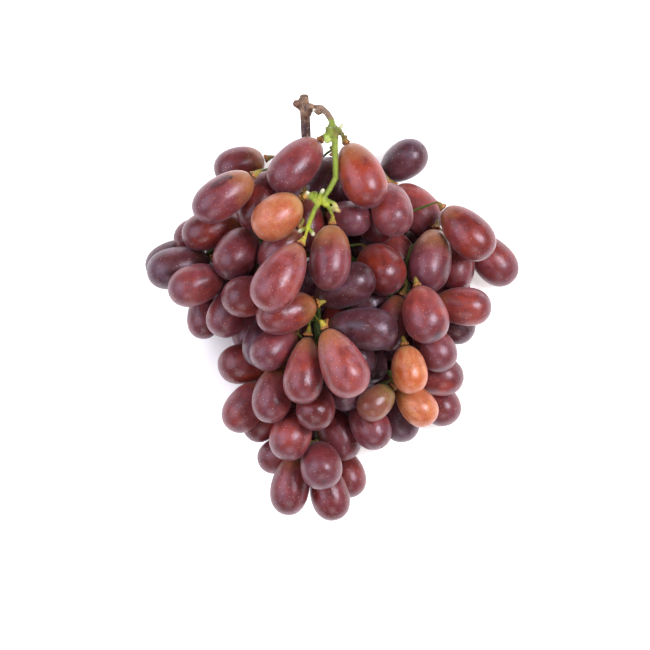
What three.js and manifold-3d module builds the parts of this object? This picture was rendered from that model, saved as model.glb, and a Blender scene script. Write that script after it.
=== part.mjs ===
// A bunch of long red table grapes, as picked, lying on its back on a flat surface.
//
// Two kinds of piece make it up: one woody and green stem, which grew as a single branching piece, and
// the berries, each a body of revolution held by its own stalk. The layout below says where each berry
// would hang in a thin sheet seen from above. settle() then lays the bunch down: berries sink until they
// rest on the surface or on each other, and the stalks are pushed round them. Berries that press on each
// other deep in the bunch are joined into one solid, because the model holds at most 60 nodes.
//
// Units are millimetres and degrees. +X is to the right, +Y towards the cut end of the stem and +Z up. The
// origin is on the surface, under the middle of the bunch's box.
import * as THREE from "three";
import { mergeVertices } from "three/addons/utils/BufferGeometryUtils.js";
import Module from "manifold-3d";

// ---- Driving dimensions ----
const SPREAD = 0.92; // size of the layout: 1 makes a bunch about 212 mm long
const BERRY_LENGTH = 26.7; // of a typical berry; each row below gives a share of it
const BERRY_WIDTH = 19.3;
const BERRY_TAPER = 0.09; // how much narrower the stalk end is than the tip end
const SEAT_RADIUS = 2.2; // flat at a berry's stalk end, where its stalk spreads against it
const GAP = 0.3; // clearance between solids that touch on the real bunch
const PRESS = 2.4; // how far berries of one joined group press into each other

const STALK_RADIUS = 0.85; // the thin stalk of one berry
const STALK_STRAIGHT = 4.5; // its straight stretch, in line with the berry, that widens to the seat
const BRANCH_GROWTH = 0.36; // a branch's radius grows with the number of berries it feeds, to this power
const BRANCH_MOST = 1.9; // and no more than this
const ROUTE_STEP = 6; // between the points that the main stem is followed by
const BRANCH_STEP = 6.5; // and a branch
const WING_REACH = 13; // longest stalk that the wing carries
const WING_BARE = 4; // points of the wing, from its root, that carry no stalk
const BARE_COST = 9; // extra length that a stalk goes round to stay under the berries, at each of 5 places

const NODES = 59; // berry nodes that the model may hold, beside the stem
const GROUP_MOST = 6; // berries joined into one node

// ---- Layout: x, y, height, heading of the tip, lift of the tip, share of the length and of the width ----
// Heading is measured in the surface's plane from +X towards +Y. Heights only give the order of the layers.
const SINGLE_BERRIES = {
  front: [
    [-14.6, 79.3, 70, 226, 12, 1.17, 1.03],
    [-23.8, 53.7, 76, 218, 8, 0.97, 1.02],
    [-21.9, 22.9, 78, 239, 8, 1.31, 1.12],
    [2.6, 32.8, 76, 267, 10, 1.15, 1.0],
    [18.2, 74.0, 73, 295, 12, 1.21, 1.08],
    [11.8, 53.0, 60, 350, 40, 0.85, 0.85],
    [-33.1, 60.7, 64, 248, 5, 1.1, 0.98],
    [-44.6, 35.9, 62, 239, 12, 1.0, 1.02],
    [10.7, 18.0, 62, 25, 10, 1.12, 1.02],
    [18.7, -0.9, 72, 351, 5, 1.2, 1.0],
    [-19.4, 4.7, 64, 197, 12, 1.08, 0.95],
    [7.8, -19.2, 74, 296, 8, 1.27, 1.1],
    [-10.2, -23.1, 66, 264, 8, 1.18, 0.95],
    [29.6, 27.2, 60, 305, 35, 1.0, 1.1],
    [32.5, 57.3, 64, 280, 30, 0.98, 1.0],
    [50.0, 4.7, 66, 285, 15, 1.02, 1.08],
    [-24.2, -12.2, 58, 222, 20, 0.95, 0.92],
    [-38.2, 13.9, 56, 190, 25, 0.98, 0.98],
  ],
  left_shoulder: [
    [-43.3, 79.9, 54, 195, 5, 0.9, 0.92],
    [-50.6, 63.6, 62, 215, 8, 1.2, 1.0],
    [-56.7, 47.4, 54, 197, 5, 1.08, 0.93],
    [-73.3, 28.9, 50, 194, 5, 1.12, 0.98],
    [-63.1, 20.6, 58, 199, 12, 1.0, 0.98],
  ],
  right_shoulder: [
    [38.1, 81.8, 56, 35, 30, 0.95, 0.92],
    [44.0, 57.6, 56, 315, 8, 1.05, 1.0],
    [70.4, 45.4, 60, 315, 8, 1.14, 1.03],
    [84.5, 32.4, 48, 312, 0, 1.05, 0.98],
    [52.4, 32.4, 54, 259, 10, 1.12, 1.02],
    [68.9, 8.9, 54, 355, 5, 1.02, 0.93],
  ],
  left_side: [
    [-48.4, 6.9, 50, 243, 10, 0.95, 0.93],
    [-39.6, -20.5, 44, 190, 15, 0.95, 0.97],
    [-40.0, -41.0, 34, 235, 8, 0.98, 0.94],
    [-26.1, -35.5, 54, 257, 12, 0.98, 0.95],
  ],
  right_side: [
    [54.2, -11.4, 56, 305, 15, 0.95, 0.93],
    [56.0, -25.8, 44, 350, 12, 0.95, 0.97],
    [41.7, -23.0, 66, 280, 10, 0.85, 0.86],
    [45.7, -40.5, 56, 312, 8, 0.85, 0.85],
    [25.4, -39.1, 54, 222, 10, 0.74, 0.78],
    [37.3, -45.8, 38, 280, 10, 0.95, 0.92],
  ],
  tail: [
    [-16.2, -55.6, 50, 250, 15, 0.92, 0.98],
    [-4.7, -41.2, 58, 262, 50, 0.9, 0.93],
    [5.5, -54.9, 40, 298, 8, 1.03, 0.95],
    [-17.1, -80.7, 30, 259, 5, 1.05, 0.93],
    [-3.1, -70.2, 46, 280, 50, 0.95, 1.0],
    [2.0, -84.9, 26, 285, 5, 1.0, 0.93],
  ],
};

// Berries that show only in part, between or beside the ones above.
const PARTLY_HIDDEN_BERRIES = [
  [-77.5, 33.5, 38, 215, 0, 0.95, 0.9],
  [-63.0, 41.0, 36, 200, 0, 0.9, 0.85],
  [-59.0, 6.0, 40, 262, 5, 0.85, 0.8],
  [-50.3, 20.9, 42, 215, 0, 1.0, 0.95],
  [-37.6, -7.1, 48, 255, 10, 0.88, 0.88],
  [-29.0, -48.0, 32, 240, 0, 0.9, 0.85],
  [-24.5, -63.2, 28, 215, 5, 0.85, 0.85],
  [-14.0, -43.5, 44, 250, 0, 0.9, 0.9],
  [11.3, -77.2, 18, 300, 5, 0.85, 0.88],
  [20.5, -48.6, 40, 300, 10, 0.95, 0.92],
  [11.4, -36.0, 52, 280, 0, 0.85, 0.85],
  [58.0, -40.0, 32, 300, 10, 0.85, 0.9],
  [38.7, -8.6, 44, 280, 0, 0.95, 0.9],
  [25.4, -17.7, 46, 270, 10, 0.8, 0.8],
  [16.0, -13.5, 54, 290, 0, 0.9, 0.9],
  [62.0, 0.0, 40, 320, 0, 0.9, 0.9],
  [35.0, 1.2, 52, 250, 0, 1.0, 0.92],
  [23.3, 11.7, 50, 300, 0, 0.95, 0.92],
  [64.0, 28.6, 44, 262, 5, 0.95, 0.9],
  [38.0, 38.0, 36, 300, 0, 1.0, 0.95],
  [24.5, 47.5, 50, 300, 0, 1.0, 0.95],
  [10.0, 62.0, 54, 290, 0, 0.95, 0.92],
  [-1.0, 73.5, 58, 260, 0, 0.95, 0.92],
  [-4.2, 52.0, 56, 270, 0, 1.0, 0.95],
  [-17.0, 43.0, 56, 240, 0, 0.95, 0.92],
  [-27.3, 33.3, 60, 230, 20, 0.95, 0.95],
  [-9.7, 14.5, 54, 250, 0, 1.0, 0.92],
  [-20.3, -23.7, 48, 240, 0, 0.95, 0.9],
];

// Berries of the layer that the bunch lies on: rows across it, each from its first x to its last.
const UNDERSIDE_ROWS = [
  { y: 60, from: -32, to: 18 },
  { y: 38, from: -48, to: 44 },
  { y: 16, from: -50, to: 60 },
  { y: -6, from: -38, to: 50 },
  { y: -28, from: -28, to: 38 },
  { y: -50, from: -10, to: 12 },
  { y: -70, from: -4, to: -4 },
];
const UNDERSIDE_STEP = 25; // at most, between the berries of a row
const UNDERSIDE_HEIGHT = 11;

// ---- The stem: routes through the layout, x, y, height, and the radius at each end ----
const MAIN_STEM = {
  radii: [2.7, 1.7],
  points: [
    [-10.8, 114, 54],
    [-10.0, 104, 52],
    [-9.4, 92, 48],
    [-8.0, 75, 42],
    [-5.0, 55, 38],
    [-3.0, 30, 38],
    [-4.0, 5, 36],
    [-3.0, -20, 34],
    [-3.0, -45, 30],
    [-3.0, -66, 26],
  ],
};
const WING_STEM = {
  radii: [1.75, 1.25],
  points: [
    [-9.4, 107.5, 53],
    [-2.5, 108.4, 62],
    [2.0, 104, 70],
    [4.0, 99, 76],
    [5.0, 91, 80],
    [5.0, 81, 80],
    [5.6, 73, 79],
    [1.4, 65.7, 80],
    [-4.0, 60, 82],
    [-7.6, 52, 83],
    [-9.4, 46, 82],
  ],
};
// Short ends of stalks that lost their berries, and the old cut of the shoot: from a point to a point.
const STUBS = [
  { radius: 2.1, from: [-10.6, 108, 53], to: [-14.6, 111.4, 54] },
  { radius: 1.4, from: [-3.5, 108, 61], to: [-3.2, 105.4, 66] },
  { radius: 1.0, from: [4.2, 96, 78], to: [0.2, 97.6, 80] },
  { radius: 1.0, from: [4.6, 94, 79], to: [8.6, 99.4, 81] },
  { radius: 1.0, from: [-4.0, 60.5, 82], to: [-1.2, 66.8, 84] },
  { radius: 1.0, from: [-4.0, 60.5, 82], to: [-9.0, 64.6, 83] },
  { radius: 1.0, from: [-0.6, 62.6, 81], to: [5.4, 59.6, 83] },
  { radius: 1.1, from: [-8.6, 48.5, 82.6], to: [-12.2, 46.6, 84] },
  { radius: 1.1, from: [-8.6, 48.0, 82.6], to: [-5.8, 44.8, 84] },
];

// ---- Settling ----
const SETTLE_ROUNDS = 600;
const SINK = 0.12; // how far a berry sinks in a round, until something holds it
const STEM_SINK = 0.02; // the same for the stem, which is stiffer
const STALK_SINK = 0.4; // and for the stalks, which slip down between the berries
const HOLD = { single: 0.3, hidden: 0.08, underside: 0.05 }; // how firmly berries keep to their places
const SPHERES = 9; // that stand for a berry while it settles
const STALK_ROOM = 0.8; // clearance round a branch's points, which leaves GAP between them
const CLEARING_ROUNDS = 60;
const CLEARING_ROOM = 0.4; // clearance round a stalk, once the berries are at rest
const CALMING = 0.9; // share of the rounds in which anything pulls; then berries only part from each other
const LAYERING = 1.4; // how much readier berries are to move up or down than sideways
const PAIR_ROUNDS = 12; // between searches for berries that are near each other

// ---- Facets ----
const SINGLE_SIDES = 10;
const GROUP_SIDES = 8;
const BERRY_RINGS = [-0.74, -0.15, 0.5, 0.86]; // along the axis, from -1 at the stalk end to 1 at the tip
const STEM_SIDES = 6;
const BRANCH_SIDES = 4;
// How coarsely the stem's facets are merged where its tubes meet: the first that leaves a sound solid.
const STEM_TOLERANCES = [0.12, 0.1, 0.08, 0.06, 0.04, 0.02];

const COLOURS = {
  berry: [0x7d3a3f, 0x8a4346, 0x6b3038, 0x5a2c38, 0x94504a],
  stem: 0x8fae3a,
};

const UP = new THREE.Vector3(0, 0, 1);
const radians = THREE.MathUtils.degToRad;
const inLayout = ([x, y, z]) => new THREE.Vector3(x * SPREAD, y * SPREAD, z * SPREAD);
const wasm = await Module();
wasm.setup();

// ---- A berry's shape: its radius at a place along its axis, from -1 to 1, as a share of the greatest ----
function profile(along) {
  const round = Math.pow(1 - Math.pow(Math.abs(along), 2.2), 1 / 2.1);
  return round * (1 + BERRY_TAPER * along) / (1 + BERRY_TAPER * 0.1);
}

// Spheres inside the berry, centred on its axis, that together fill it: where, from 0 to 1, and how big.
function fillingSpheres(length, radius) {
  const spheres = [];
  for (let k = 0; k < SPHERES; k++) {
    const share = THREE.MathUtils.lerp(0.13, 0.88, k / (SPHERES - 1));
    let size = Infinity;
    for (let along = -1; along <= 1; along += 0.02) {
      const offset = (along / 2 + 0.5 - share) * length;
      size = Math.min(size, Math.hypot(offset, radius * profile(along)));
    }
    spheres.push({ share, size, centre: new THREE.Vector3() });
  }
  return spheres;
}

function makeBerry([x, y, z, heading, lift, lengthShare, widthShare], kind) {
  const length = BERRY_LENGTH * lengthShare;
  const radius = (BERRY_WIDTH / 2) * widthShare;
  const level = Math.cos(radians(lift));
  const axis = new THREE.Vector3(
    Math.cos(radians(heading)) * level,
    Math.sin(radians(heading)) * level,
    Math.sin(radians(lift)),
  );
  const middle = inLayout([x, y, z]);
  const seat = middle.clone().addScaledVector(axis, -length / 2);
  const tip = middle.clone().addScaledVector(axis, length / 2);
  const spheres = fillingSpheres(length, radius);
  // The first stretch of the stalk moves with the berry and keeps other berries off it.
  for (const [behind, size] of [[0.5, SEAT_RADIUS], [STALK_STRAIGHT, STALK_RADIUS]])
    spheres.push({ share: -behind / length, size, centre: new THREE.Vector3(), stalk: true });
  return {
    kind, length, radius, spheres, seat, tip,
    seatAim: seat.clone(), tipAim: tip.clone(), reach: length / 2 + STALK_STRAIGHT,
  };
}

// The layer that the bunch lies on: berries in rows that fan out from the stem, with their tips outwards.
function undersideBerries() {
  const berries = [];
  UNDERSIDE_ROWS.forEach(({ y, from, to }, row) => {
    const steps = Math.ceil((to - from) / UNDERSIDE_STEP);
    for (let k = 0; k <= steps; k++) {
      const x = THREE.MathUtils.lerp(from, to, steps ? k / steps : 0);
      const heading = 270 + THREE.MathUtils.clamp(x * 1.3, -80, 80);
      const size = 0.94 + 0.05 * Math.sin(2.4 * k + 1.7 * row);
      berries.push(makeBerry([x, y, UNDERSIDE_HEIGHT, heading, 0, size, size], "underside"));
    }
  });
  return berries;
}

// ---- The stem's skeleton: points with a radius, each joined to its parent ----
function addRoute(skeleton, route, parent) {
  const curve = new THREE.CatmullRomCurve3(route.points.map(inLayout));
  const steps = Math.max(1, Math.round(curve.getLength() / ROUTE_STEP));
  const first = skeleton.length;
  curve.getSpacedPoints(steps).forEach((at, k) => {
    const radius = THREE.MathUtils.lerp(route.radii[0], route.radii[1], k / steps);
    const joined = k ? skeleton.length - 1 : parent;
    skeleton.push({ at, aim: at.clone(), radius, parent: joined, carried: 0, own: true });
  });
  return { first, last: skeleton.length - 1 };
}

function depthInside(point, berries) {
  let deepest = 0;
  for (const berry of berries)
    for (const ball of berry.spheres)
      if (!ball.stalk) deepest = Math.max(deepest, ball.size - point.distanceTo(ball.centre));
  return deepest;
}

// Whether a berry lies over the point, so that it cannot be seen from above.
function isCovered(point, berries) {
  const over = (ball) => {
    const aside = Math.hypot(point.x - ball.centre.x, point.y - ball.centre.y);
    return point.z < ball.centre.z && aside < ball.size;
  };
  return berries.some((berry) => berry.spheres.some((ball) => !ball.stalk && over(ball)));
}

// Gives each berry a branch to the nearest part of the stem that it can reach past the other berries.
function growBranches(skeleton, berries) {
  const straightEnd = (berry) => berry.seat.clone().lerp(berry.tip, -STALK_STRAIGHT / berry.length);
  const near = (point) => Math.min(...skeleton.map((node) => node.at.distanceTo(point)));
  const order = berries.map((berry) => ({ berry, from: straightEnd(berry) }));
  order.forEach((entry) => (entry.distance = near(entry.from)));
  order.sort((a, b) => a.distance - b.distance);
  for (const { berry, from } of order) {
    let best = null;
    skeleton.forEach((node, index) => {
      if (node.seatOf || node.bare) return;
      const distance = node.at.distanceTo(from);
      const reach = node.reach && berry.kind !== "single" ? 0 : node.reach ?? Infinity;
      if (distance > reach || (best && distance > best.cost)) return;
      let cost = distance;
      for (let k = 1; k < 6; k++) {
        const point = from.clone().lerp(node.at, k / 6);
        cost += 1.2 * depthInside(point, berries) + (node.reach || isCovered(point, berries) ? 0 : BARE_COST);
      }
      if (!best || cost < best.cost) best = { cost, index, distance };
    });
    const steps = Math.max(1, Math.round(best.distance / BRANCH_STEP));
    let parent = best.index;
    for (let k = 1; k <= steps; k++) {
      const at = skeleton[best.index].at.clone().lerp(from, k / steps);
      skeleton.push({ at, radius: STALK_RADIUS, parent, carried: 0, seatOf: k === steps ? berry : null });
      parent = skeleton.length - 1;
    }
    berry.node = parent;
    for (let n = parent; n >= 0; n = skeleton[n].parent) skeleton[n].carried += 1;
  }
  for (const node of skeleton)
    if (!node.own)
      node.radius = Math.min(BRANCH_MOST, STALK_RADIUS * Math.pow(node.carried, BRANCH_GROWTH));
}

// ---- Settling ----
const push = new THREE.Vector3();

// Moves a berry so that the point at that share of its length moves by push, turning it as it must.
function nudge(berry, share, by) {
  berry.seat.addScaledVector(push, by * (1 - share));
  berry.tip.addScaledVector(push, by * share);
}
const ease = (share) => (1 - share) ** 2 + share ** 2;

function placeSpheres(berry) {
  for (const ball of berry.spheres) ball.centre.copy(berry.seat).lerp(berry.tip, ball.share);
}

function keepLength(berry) {
  const middle = berry.seat.clone().lerp(berry.tip, 0.5);
  const axis = berry.tip.clone().sub(berry.seat).setLength(berry.length / 2);
  berry.seat.copy(middle).sub(axis);
  berry.tip.copy(middle).add(axis);
  placeSpheres(berry);
}

// The deepest overlap of two berries' spheres, moved apart to the clearance between them.
function separate(a, b, clearance, joined = false) {
  let worst = 0, first, second;
  for (const p of a.spheres)
    for (const q of b.spheres) {
      if (p.stalk && q.stalk) continue;
      if (joined && !p.stalk && !q.stalk) continue;
      const depth = p.size + q.size + clearance - p.centre.distanceTo(q.centre);
      if (depth > worst) [worst, first, second] = [depth, p, q];
    }
  if (!worst) return 0;
  push.copy(second.centre).sub(first.centre);
  push.z *= LAYERING;
  push.normalize();
  const share = worst / (ease(first.share) + ease(second.share));
  nudge(a, first.share, -share);
  nudge(b, second.share, share);
  placeSpheres(a);
  placeSpheres(b);
  return worst;
}

// The gap between two berries' nearest spheres, with the spheres.
function nearest(a, b) {
  let best = { gap: Infinity };
  for (const p of a.spheres)
    for (const q of b.spheres) {
      if (p.stalk || q.stalk) continue;
      const gap = p.centre.distanceTo(q.centre) - p.size - q.size;
      if (gap < best.gap) best = { gap, p, q };
    }
  return best;
}

function pressTogether(a, b) {
  const { gap, p, q } = nearest(a, b);
  const short = gap + PRESS;
  if (Math.abs(short) < 0.01) return;
  push.copy(q.centre).sub(p.centre).normalize();
  const share = (0.5 * short) / (ease(p.share) + ease(q.share));
  nudge(a, p.share, share);
  nudge(b, q.share, -share);
}

function keepOffStem(berry, skeleton) {
  for (const node of skeleton) {
    if (node.seatOf === berry) continue;
    if (node.at.distanceTo(berry.seat) > 1.5 * berry.length + node.radius) continue;
    for (const ball of berry.spheres) {
      if (ball.stalk) continue;
      const room = ball.size + node.radius + (node.own ? GAP : STALK_ROOM);
      const depth = room - node.at.distanceTo(ball.centre);
      if (depth <= 0) continue;
      push.copy(ball.centre).sub(node.at).normalize();
      const give = node.own ? 0.15 : 2;
      const share = depth / (ease(ball.share) + give);
      nudge(berry, ball.share, share);
      node.at.addScaledVector(push, -share * give);
      placeSpheres(berry);
    }
  }
}

function tieStem(skeleton, hold) {
  for (const node of skeleton) {
    if (node.seatOf) {
      const { seat, tip, length } = node.seatOf;
      const end = seat.clone().lerp(tip, -STALK_STRAIGHT / length);
      node.at.copy(end);
    }
    if (!node.own && !node.seatOf) node.at.z -= STALK_SINK * hold;
    if (node.aim) {
      node.at.x += (node.aim.x - node.at.x) * hold;
      node.at.y += (node.aim.y - node.at.y) * hold;
    }
    const parent = skeleton[node.parent];
    if (!parent) continue;
    node.rest ??= node.at.distanceTo(parent.at);
    const gap = node.at.clone().sub(parent.at);
    const stretch = gap.length() - node.rest * (node.own ? 1 : 0.9);
    const stiff = node.own ? 0.5 : 0.15;
    if (stretch < 0 && !node.own) continue;
    gap.normalize().multiplyScalar(stretch * stiff);
    const share = parent.own && !node.own ? 0.1 : 0.5;
    parent.at.addScaledVector(gap, share);
    if (!node.seatOf) node.at.addScaledVector(gap, share - 1);
  }
}

function nearPairs(berries) {
  const pairs = [];
  berries.forEach((a, i) => {
    const middle = a.seat.clone().lerp(a.tip, 0.5);
    for (const b of berries.slice(i + 1)) {
      const other = b.seat.clone().lerp(b.tip, 0.5);
      if (middle.distanceTo(other) < a.reach + b.reach + 3) pairs.push([a, b]);
    }
  });
  return pairs;
}

function settle(berries, skeleton, links, rounds) {
  const linked = new Set(links.map(([a, b]) => berries.indexOf(a) * 1000 + berries.indexOf(b)));
  const isLinked = (a, b) => {
    const [i, j] = [berries.indexOf(a), berries.indexOf(b)];
    return linked.has(i * 1000 + j) || linked.has(j * 1000 + i);
  };
  let pairs = [];
  berries.forEach(placeSpheres);
  for (let round = 0; round < rounds; round++) {
    const calm = Math.max(0, 1 - round / (CALMING * rounds)); // every pull fades as the bunch comes to rest
    if (round % PAIR_ROUNDS === 0) pairs = nearPairs(berries).filter(([a, b]) => !isLinked(a, b));
    for (const berry of berries) {
      const hold = HOLD[berry.kind] * Math.sqrt(calm);
      for (const [end, aim] of [[berry.seat, berry.seatAim], [berry.tip, berry.tipAim]]) {
        end.x += (aim.x - end.x) * hold;
        end.y += (aim.y - end.y) * hold;
        end.z -= SINK * calm;
      }
      const tilt = berry.tipAim.z - berry.seatAim.z - (berry.tip.z - berry.seat.z);
      berry.tip.z += tilt * 0.1 * calm;
      berry.seat.z -= tilt * 0.1 * calm;
    }
    for (const node of skeleton) if (node.own) node.at.z -= STEM_SINK * calm;
    tieStem(skeleton, 0.3 * calm);
    for (const [a, b] of links) pressTogether(a, b);
    berries.forEach(keepLength);
    for (const [a, b] of pairs) separate(a, b, GAP);
    for (const [a, b] of links) separate(a, b, GAP, true);
    for (const berry of berries) {
      keepOffStem(berry, skeleton);
      for (const ball of berry.spheres) {
        const under = ball.size - ball.centre.z;
        push.copy(UP);
        if (under > 0) nudge(berry, ball.share, under / ease(ball.share));
      }
      keepLength(berry);
    }
    for (const node of skeleton) node.at.z = Math.max(node.at.z, node.radius + GAP);
  }
}

// Moves the stalks alone, and points between their ends, out of the berries that they still cross.
function clearStalks(skeleton, berries) {
  const stalks = skeleton.filter((node) => !node.own && node.parent >= 0);
  for (let round = 0; round < CLEARING_ROUNDS; round++)
    for (const node of stalks) {
      const parent = skeleton[node.parent];
      for (const share of [0, 0.33, 0.67]) {
        const point = node.at.clone().lerp(parent.at, share);
        for (const berry of berries) {
          if (berry === node.seatOf || point.distanceTo(berry.seat) > berry.length + 5) continue;
          for (const ball of berry.spheres) {
            const depth = ball.size + node.radius + CLEARING_ROOM - point.distanceTo(ball.centre);
            if (ball.stalk || depth <= 0) continue;
            push.copy(point).sub(ball.centre).setLength(depth / ease(share));
            if (!node.seatOf) node.at.addScaledVector(push, 1 - share);
            if (!parent.own) parent.at.addScaledVector(push, share);
            point.copy(node.at).lerp(parent.at, share);
          }
        }
      }
    }
}

// Joins berries that touch into groups, the closest first, until the model has few enough nodes.
function groupBerries(berries, groupsWanted) {
  const groupOf = new Map(berries.map((berry) => [berry, [berry]]));
  const links = [];
  const close = nearPairs(berries).map(([a, b]) => ({ a, b, gap: nearest(a, b).gap }));
  close.sort((one, other) => one.gap - other.gap);
  let groups = berries.length;
  for (const { a, b } of close) {
    const [mine, theirs] = [groupOf.get(a), groupOf.get(b)];
    if (groups <= groupsWanted) break;
    if (mine === theirs || mine.length + theirs.length > GROUP_MOST) continue;
    mine.push(...theirs);
    theirs.forEach((berry) => groupOf.set(berry, mine));
    links.push([a, b]);
    groups -= 1;
  }
  return { groups: [...new Set(groupOf.values())], links };
}

// ---- Solids ----
function berryGeometry(berry, sides, grown = 0) {
  const half = berry.length / 2;
  const seat = SEAT_RADIUS + grown;
  const points = [new THREE.Vector2(0, -half - grown), new THREE.Vector2(seat, -half - grown)];
  for (const along of BERRY_RINGS)
    points.push(new THREE.Vector2(berry.radius * profile(along) + grown, along * (half + grown)));
  points.push(new THREE.Vector2(0, half + grown));
  return new THREE.LatheGeometry(points, sides);
}

function placed(berry, object) {
  const axis = berry.tip.clone().sub(berry.seat).normalize();
  object.position.copy(berry.seat).lerp(berry.tip, 0.5);
  object.quaternion.setFromUnitVectors(new THREE.Vector3(0, 1, 0), axis);
  return object;
}

// A geometry with merged vertices as a manifold-3d solid.
function solidOf(geometry, matrix = new THREE.Matrix4()) {
  const bare = new THREE.BufferGeometry();
  bare.setAttribute("position", geometry.getAttribute("position").clone());
  bare.setIndex(geometry.index);
  bare.applyMatrix4(matrix);
  const merged = mergeVertices(bare, 1e-3);
  const triVerts = [];
  const index = merged.index.array;
  for (let i = 0; i < index.length; i += 3) {
    const [a, b, c] = index.slice(i, i + 3);
    if (a !== b && b !== c && c !== a) triVerts.push(a, b, c);
  }
  return new wasm.Manifold(
    new wasm.Mesh({
      numProp: 3,
      vertProperties: new Float32Array(merged.attributes.position.array),
      triVerts: new Uint32Array(triVerts),
    }),
  );
}

function geometryOf(solid) {
  const { vertProperties, triVerts, numProp } = solid.getMesh();
  const geometry = new THREE.BufferGeometry();
  geometry.setAttribute("position", new THREE.BufferAttribute(vertProperties, numProp));
  geometry.setIndex(new THREE.BufferAttribute(triVerts, 1));
  geometry.computeVertexNormals();
  return geometry;
}

function berrySolid(berry, sides, grown = 0) {
  const holder = placed(berry, new THREE.Object3D());
  holder.updateMatrix();
  return solidOf(berryGeometry(berry, sides, grown), holder.matrix);
}

// A round tube through the points, with a radius at each: a unit cylinder, bent along them.
function tube(points, radii, sides) {
  const steps = points.length - 1;
  const geometry = new THREE.CylinderGeometry(1, 1, steps, sides, steps);
  const position = geometry.getAttribute("position");
  const frames = [];
  const side = new THREE.Vector3(1, 0, 0);
  points.forEach((point, k) => {
    const before = points[Math.max(0, k - 1)];
    const after = points[Math.min(steps, k + 1)];
    const along = after.clone().sub(before).normalize();
    if (Math.abs(along.dot(side)) > 0.9) side.set(0, 0, 1);
    side.addScaledVector(along, -side.dot(along)).normalize();
    frames.push({ side: side.clone(), other: side.clone().cross(along) });
  });
  for (let i = 0; i < position.count; i++) {
    const k = Math.round(position.getY(i) + steps / 2);
    const at = points[k].clone();
    at.addScaledVector(frames[k].side, position.getX(i) * radii[k]);
    at.addScaledVector(frames[k].other, position.getZ(i) * radii[k]);
    position.setXYZ(i, at.x, at.y, at.z);
  }
  return solidOf(geometry);
}

function routeTube(skeleton, { first, last }) {
  const nodes = skeleton.slice(first, last + 1);
  return tube(nodes.map((node) => node.at), nodes.map((node) => node.radius), STEM_SIDES);
}

// A berry's branch, from the flare at its seat back to where it leaves the rest of the stem.
function branchTube(berry, skeleton) {
  const axis = berry.tip.clone().sub(berry.seat).normalize();
  const points = [berry.seat.clone().addScaledVector(axis, -GAP - 0.05)];
  const radii = [SEAT_RADIUS];
  for (let n = berry.node; n >= 0; n = skeleton[n].parent) {
    const node = skeleton[n];
    points.push(node.at.clone());
    radii.push(node.own ? Math.min(radii[radii.length - 1], node.radius) : node.radius);
    if (node.drawn) break;
    node.drawn = true;
  }
  return tube(points, radii, BRANCH_SIDES);
}

function largestBody(solid) {
  return solid.decompose().reduce((a, b) => (a.volume() > b.volume() ? a : b));
}

// Whether an edge belongs to more than two facets, as where two folds of a surface meet.
function hasSharedEdge(solid) {
  const { vertProperties, triVerts, numProp } = solid.getMesh();
  const place = (v) => [0, 1, 2].map((k) => Math.round(vertProperties[v * numProp + k] * 1e3)).join();
  const facets = new Map();
  for (let i = 0; i < triVerts.length; i += 3)
    for (let k = 0; k < 3; k++) {
      const edge = [place(triVerts[i + k]), place(triVerts[i + ((k + 1) % 3)])].sort().join();
      facets.set(edge, (facets.get(edge) ?? 0) + 1);
    }
  return [...facets.values()].some((count) => count !== 2);
}

function stemSolid(skeleton, routes, berries) {
  let solid = routes.map((route) => routeTube(skeleton, route)).reduce((a, b) => a.add(b));
  routes.forEach(({ first, last }) => skeleton.slice(first, last + 1).forEach((node) => (node.drawn = true)));
  const joined = [...berries].sort((a, b) => a.node - b.node);
  for (const berry of joined) solid = solid.add(branchTube(berry, skeleton));
  for (const berry of berries) solid = solid.subtract(berrySolid(berry, GROUP_SIDES * 2, GAP));
  for (const tolerance of STEM_TOLERANCES) {
    const simpler = largestBody(solid.asOriginal().simplify(tolerance));
    const body = largestBody(solidOf(geometryOf(simpler)));
    if (!hasSharedEdge(body)) return body;
  }
  return largestBody(solid);
}

// ---- The bunch ----
function growBunch() {
  const berries = [];
  for (const [place, rows] of Object.entries(SINGLE_BERRIES))
    rows.forEach((row, k) => {
      const berry = makeBerry(row, "single");
      berry.name = `${place}_berry_${String(k + 1).padStart(2, "0")}`;
      berries.push(berry);
    });
  berries.push(...PARTLY_HIDDEN_BERRIES.map((row) => makeBerry(row, "hidden")));
  berries.push(...undersideBerries());

  const skeleton = [];
  const main = addRoute(skeleton, MAIN_STEM, -1);
  const wing = addRoute(skeleton, WING_STEM, main.first + 1);
  for (let k = wing.first; k <= wing.last; k++) {
    skeleton[k].reach = WING_REACH;
    skeleton[k].bare = k < wing.first + WING_BARE;
  }
  const routes = [main, wing];
  for (const stub of STUBS) {
    const from = inLayout(stub.from);
    const distances = skeleton.map((node) => node.at.distanceTo(from));
    const parent = distances.indexOf(Math.min(...distances));
    const route = { radii: [stub.radius, stub.radius], points: [stub.from, stub.to] };
    const end = addRoute(skeleton, route, parent);
    for (let k = end.first; k <= end.last; k++) skeleton[k].bare = true;
    routes.push(end);
  }
  settle(berries, skeleton, [], SETTLE_ROUNDS);
  growBranches(skeleton, berries);
  const hidden = berries.filter((berry) => berry.kind !== "single");
  const singles = berries.filter((berry) => berry.kind === "single");
  const { groups, links } = groupBerries(hidden, NODES - singles.length);
  settle(berries, skeleton, links, SETTLE_ROUNDS);
  clearStalks(skeleton, berries);
  return { berries, singles, groups, skeleton, routes };
}

function material(colour) {
  return new THREE.MeshStandardMaterial({ color: colour, roughness: 0.45, metalness: 0 });
}

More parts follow.
